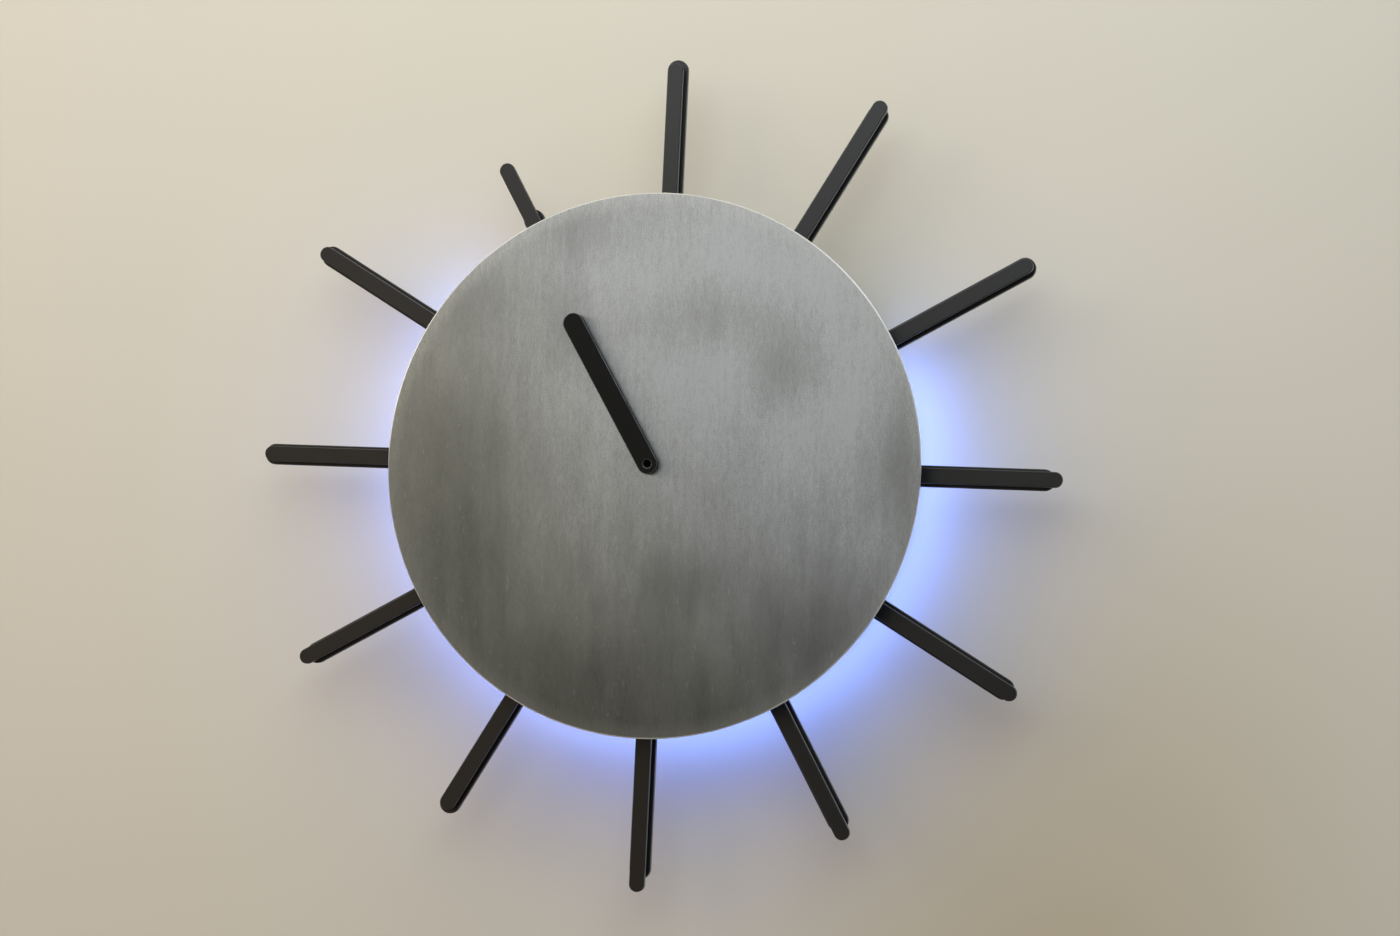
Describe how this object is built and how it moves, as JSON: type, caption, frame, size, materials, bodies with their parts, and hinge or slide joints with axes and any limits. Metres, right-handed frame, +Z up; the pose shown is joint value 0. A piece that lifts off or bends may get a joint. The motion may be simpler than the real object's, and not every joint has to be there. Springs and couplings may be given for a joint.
{
  "type": "illuminated wall clock",
  "caption": "Round brushed wall clock with one black hand, telescoping black rays that slide in and out behind the disc to mark the hours, and a lit rim that glows on the wall.",
  "frame": {"origin": "on the clock's axis, in the plane of the wall, on the wall plate's back face", "axes": "+X to the right as the clock is read, +Z up, +Y into the wall; the clock faces -Y"},
  "size_m": [0.6075, 0.081, 0.6169],
  "materials": {
    "bar_black": "black anodised, satin",
    "hand_black": "black anodised, satin",
    "disc_brushed": "brushed along one direction, mottled",
    "plate_black": "powder coated",
    "chassis_aluminium": "clear anodised, satin",
    "standoff_aluminium": "turned",
    "steel": "zinc plated",
    "motor_steel": "drawn can",
    "brass": "machined",
    "rubber": "matt",
    "guide_plastic": "moulded",
    "movement_plastic": "moulded",
    "inlet_plastic": "moulded",
    "board": "solder mask",
    "tape_white": "printed flexible strip",
    "diffuser_opal": "opal, lit from inside"
  },
  "bodies": {
    "base": {"wall_plate": "plate_black", "hanger_studs": "steel", "chassis_plate": "chassis_aluminium", "wall_pads": "rubber", "ray_guides": "guide_plastic", "ray_motors": "motor_steel", "small_screws": "steel", "light_rim": "chassis_aluminium", "light_tape": "tape_white", "light_diffuser": "diffuser_opal", "face_disc": "disc_brushed", "face_standoffs": "standoff_aluminium", "face_screws": "steel", "movement_base": "movement_plastic", "movement_cover": "movement_plastic", "hand_motor": "motor_steel", "bushing_nut": "brass", "controller_board": "board", "power_inlet": "inlet_plastic"},
    "hand": {"hour_hand": "hand_black", "hand_shaft": "steel", "hour_wheel": "brass", "hand_screw": "steel"},
    "motor_pinion": {"motor_pinion": "brass"},
    "rear_bar_01": {"rear_bar_01": "bar_black"},
    "front_bar_01": {"front_bar_01": "bar_black"},
    "ray_pinion_01": {"ray_pinion_01": "brass"},
    "rear_bar_02": {"rear_bar_02": "bar_black"},
    "front_bar_02": {"front_bar_02": "bar_black"},
    "ray_pinion_02": {"ray_pinion_02": "brass"},
    "rear_bar_03": {"rear_bar_03": "bar_black"},
    "front_bar_03": {"front_bar_03": "bar_black"},
    "ray_pinion_03": {"ray_pinion_03": "brass"},
    "rear_bar_04": {"rear_bar_04": "bar_black"},
    "front_bar_04": {"front_bar_04": "bar_black"},
    "ray_pinion_04": {"ray_pinion_04": "brass"},
    "rear_bar_05": {"rear_bar_05": "bar_black"},
    "front_bar_05": {"front_bar_05": "bar_black"},
    "ray_pinion_05": {"ray_pinion_05": "brass"},
    "rear_bar_06": {"rear_bar_06": "bar_black"},
    "front_bar_06": {"front_bar_06": "bar_black"},
    "ray_pinion_06": {"ray_pinion_06": "brass"},
    "rear_bar_07": {"rear_bar_07": "bar_black"},
    "front_bar_07": {"front_bar_07": "bar_black"},
    "ray_pinion_07": {"ray_pinion_07": "brass"},
    "rear_bar_08": {"rear_bar_08": "bar_black"},
    "front_bar_08": {"front_bar_08": "bar_black"},
    "ray_pinion_08": {"ray_pinion_08": "brass"},
    "rear_bar_09": {"rear_bar_09": "bar_black"},
    "front_bar_09": {"front_bar_09": "bar_black"},
    "ray_pinion_09": {"ray_pinion_09": "brass"},
    "rear_bar_10": {"rear_bar_10": "bar_black"},
    "front_bar_10": {"front_bar_10": "bar_black"},
    "ray_pinion_10": {"ray_pinion_10": "brass"},
    "rear_bar_11": {"rear_bar_11": "bar_black"},
    "front_bar_11": {"front_bar_11": "bar_black"},
    "ray_pinion_11": {"ray_pinion_11": "brass"},
    "rear_bar_12": {"rear_bar_12": "bar_black"},
    "front_bar_12": {"front_bar_12": "bar_black"},
    "ray_pinion_12": {"ray_pinion_12": "brass"}
  },
  "joints": [
    {"name": "hand_turn", "type": "hinge", "parent": "base", "child": "hand", "pos_m": [0, -0.079, 0], "axis": [0, 1, 0], "continuous": true},
    {"name": "motor_pinion_turn", "type": "hinge", "parent": "base", "child": "motor_pinion", "pos_m": [0, -0.0667, -0.0192], "axis": [0, 1, 0], "continuous": true},
    {"name": "rear_slide_01", "type": "slide", "parent": "base", "child": "rear_bar_01", "axis": [0.5, 0, 0.866], "range_m": [-0.0931, 0.0019]},
    {"name": "front_slide_01", "type": "slide", "parent": "base", "child": "front_bar_01", "axis": [0.5, 0, 0.866], "range_m": [-0.05172, 0.00106]},
    {"name": "pinion_turn_01", "type": "hinge", "parent": "base", "child": "ray_pinion_01", "pos_m": [0.0774, -0.0373, 0.11466], "axis": [0, 1, 0], "range_deg": [-592.7, 12.11]},
    {"name": "rear_slide_02", "type": "slide", "parent": "base", "child": "rear_bar_02", "axis": [0.866, 0, 0.5], "range_m": [-0.095, 0]},
    {"name": "front_slide_02", "type": "slide", "parent": "base", "child": "front_bar_02", "axis": [0.866, 0, 0.5], "range_m": [-0.05278, 0]},
    {"name": "pinion_turn_02", "type": "hinge", "parent": "base", "child": "ray_pinion_02", "pos_m": [0.12436, -0.0373, 0.0606], "axis": [0, 1, 0], "range_deg": [-604.8, 0.01]},
    {"name": "rear_slide_03", "type": "slide", "parent": "base", "child": "rear_bar_03", "axis": [1, 0, 0], "range_m": [-0.0741, 0.0209]},
    {"name": "front_slide_03", "type": "slide", "parent": "base", "child": "front_bar_03", "axis": [1, 0, 0], "range_m": [-0.04117, 0.01161]},
    {"name": "pinion_turn_03", "type": "hinge", "parent": "base", "child": "ray_pinion_03", "pos_m": [0.138, -0.0373, -0.0097], "axis": [0, 1, 0], "range_deg": [-471.75, 133.06]},
    {"name": "rear_slide_04", "type": "slide", "parent": "base", "child": "rear_bar_04", "axis": [0.866, 0, -0.5], "range_m": [-0.0912, 0.0038]},
    {"name": "front_slide_04", "type": "slide", "parent": "base", "child": "front_bar_04", "axis": [0.866, 0, -0.5], "range_m": [-0.05067, 0.00211]},
    {"name": "pinion_turn_04", "type": "hinge", "parent": "base", "child": "ray_pinion_04", "pos_m": [0.11466, -0.0373, -0.0774], "axis": [0, 1, 0], "range_deg": [-580.61, 24.2]},
    {"name": "rear_slide_05", "type": "slide", "parent": "base", "child": "rear_bar_05", "axis": [0.5, 0, -0.866], "range_m": [-0.0798, 0.0152]},
    {"name": "front_slide_05", "type": "slide", "parent": "base", "child": "front_bar_05", "axis": [0.5, 0, -0.866], "range_m": [-0.04433, 0.00844]},
    {"name": "pinion_turn_05", "type": "hinge", "parent": "base", "child": "ray_pinion_05", "pos_m": [0.0606, -0.0373, -0.12436], "axis": [0, 1, 0], "range_deg": [-508.03, 96.78]},
    {"name": "rear_slide_06", "type": "slide", "parent": "base", "child": "rear_bar_06", "axis": [0, 0, -1], "range_m": [-0.08455, 0.01045]},
    {"name": "front_slide_06", "type": "slide", "parent": "base", "child": "front_bar_06", "axis": [0, 0, -1], "range_m": [-0.04697, 0.00581]},
    {"name": "pinion_turn_06", "type": "hinge", "parent": "base", "child": "ray_pinion_06", "pos_m": [-0.0097, -0.0373, -0.138], "axis": [0, 1, 0], "range_deg": [-538.27, 66.54]},
    {"name": "rear_slide_07", "type": "slide", "parent": "base", "child": "rear_bar_07", "axis": [-0.5, 0, -0.866], "range_m": [-0.08455, 0.01045]},
    {"name": "front_slide_07", "type": "slide", "parent": "base", "child": "front_bar_07", "axis": [-0.5, 0, -0.866], "range_m": [-0.04697, 0.00581]},
    {"name": "pinion_turn_07", "type": "hinge", "parent": "base", "child": "ray_pinion_07", "pos_m": [-0.0774, -0.0373, -0.11466], "axis": [0, 1, 0], "range_deg": [-538.27, 66.54]},
    {"name": "rear_slide_08", "type": "slide", "parent": "base", "child": "rear_bar_08", "axis": [-0.866, 0, -0.5], "range_m": [-0.0874, 0.0076]},
    {"name": "front_slide_08", "type": "slide", "parent": "base", "child": "front_bar_08", "axis": [-0.866, 0, -0.5], "range_m": [-0.04856, 0.00422]},
    {"name": "pinion_turn_08", "type": "hinge", "parent": "base", "child": "ray_pinion_08", "pos_m": [-0.12436, -0.0373, -0.0606], "axis": [0, 1, 0], "range_deg": [-556.42, 48.39]},
    {"name": "rear_slide_09", "type": "slide", "parent": "base", "child": "rear_bar_09", "axis": [-1, 0, 0], "range_m": [-0.0893, 0.0057]},
    {"name": "front_slide_09", "type": "slide", "parent": "base", "child": "front_bar_09", "axis": [-1, 0, 0], "range_m": [-0.04961, 0.00317]},
    {"name": "pinion_turn_09", "type": "hinge", "parent": "base", "child": "ray_pinion_09", "pos_m": [-0.138, -0.0373, 0.0097], "axis": [0, 1, 0], "range_deg": [-568.51, 36.3]},
    {"name": "rear_slide_10", "type": "slide", "parent": "base", "child": "rear_bar_10", "axis": [-0.866, 0, 0.5], "range_m": [-0.0931, 0.0019]},
    {"name": "front_slide_10", "type": "slide", "parent": "base", "child": "front_bar_10", "axis": [-0.866, 0, 0.5], "range_m": [-0.05172, 0.00106]},
    {"name": "pinion_turn_10", "type": "hinge", "parent": "base", "child": "ray_pinion_10", "pos_m": [-0.11466, -0.0373, 0.0774], "axis": [0, 1, 0], "range_deg": [-592.7, 12.11]},
    {"name": "rear_slide_11", "type": "slide", "parent": "base", "child": "rear_bar_11", "axis": [-0.5, 0, 0.866], "range_m": [0, 0.095]},
    {"name": "front_slide_11", "type": "slide", "parent": "base", "child": "front_bar_11", "axis": [-0.5, 0, 0.866], "range_m": [0, 0.05278]},
    {"name": "pinion_turn_11", "type": "hinge", "parent": "base", "child": "ray_pinion_11", "pos_m": [-0.0606, -0.0373, 0.12436], "axis": [0, 1, 0], "range_deg": [-0.01, 604.8]},
    {"name": "rear_slide_12", "type": "slide", "parent": "base", "child": "rear_bar_12", "axis": [0, 0, 1], "range_m": [-0.0855, 0.0095]},
    {"name": "front_slide_12", "type": "slide", "parent": "base", "child": "front_bar_12", "axis": [0, 0, 1], "range_m": [-0.0475, 0.00528]},
    {"name": "pinion_turn_12", "type": "hinge", "parent": "base", "child": "ray_pinion_12", "pos_m": [0.0097, -0.0373, 0.138], "axis": [0, 1, 0], "range_deg": [-544.32, 60.49]}
  ],
  "couplings": [
    {"joint": "motor_pinion_turn", "follows": "hand_turn", "ratio": -3},
    {"joint": "front_slide_01", "follows": "rear_slide_01", "ratio": 0.55556},
    {"joint": "pinion_turn_01", "follows": "rear_slide_01", "rad_per_m": 111.11},
    {"joint": "front_slide_02", "follows": "rear_slide_02", "ratio": 0.55556},
    {"joint": "pinion_turn_02", "follows": "rear_slide_02", "rad_per_m": 111.11},
    {"joint": "front_slide_03", "follows": "rear_slide_03", "ratio": 0.55556},
    {"joint": "pinion_turn_03", "follows": "rear_slide_03", "rad_per_m": 111.11},
    {"joint": "front_slide_04", "follows": "rear_slide_04", "ratio": 0.55556},
    {"joint": "pinion_turn_04", "follows": "rear_slide_04", "rad_per_m": 111.11},
    {"joint": "front_slide_05", "follows": "rear_slide_05", "ratio": 0.55556},
    {"joint": "pinion_turn_05", "follows": "rear_slide_05", "rad_per_m": 111.11},
    {"joint": "front_slide_06", "follows": "rear_slide_06", "ratio": 0.55556},
    {"joint": "pinion_turn_06", "follows": "rear_slide_06", "rad_per_m": 111.11},
    {"joint": "front_slide_07", "follows": "rear_slide_07", "ratio": 0.55556},
    {"joint": "pinion_turn_07", "follows": "rear_slide_07", "rad_per_m": 111.11},
    {"joint": "front_slide_08", "follows": "rear_slide_08", "ratio": 0.55556},
    {"joint": "pinion_turn_08", "follows": "rear_slide_08", "rad_per_m": 111.11},
    {"joint": "front_slide_09", "follows": "rear_slide_09", "ratio": 0.55556},
    {"joint": "pinion_turn_09", "follows": "rear_slide_09", "rad_per_m": 111.11},
    {"joint": "front_slide_10", "follows": "rear_slide_10", "ratio": 0.55556},
    {"joint": "pinion_turn_10", "follows": "rear_slide_10", "rad_per_m": 111.11},
    {"joint": "front_slide_11", "follows": "rear_slide_11", "ratio": 0.55556},
    {"joint": "pinion_turn_11", "follows": "rear_slide_11", "rad_per_m": 111.11},
    {"joint": "front_slide_12", "follows": "rear_slide_12", "ratio": 0.55556},
    {"joint": "pinion_turn_12", "follows": "rear_slide_12", "rad_per_m": 111.11}
  ]
}
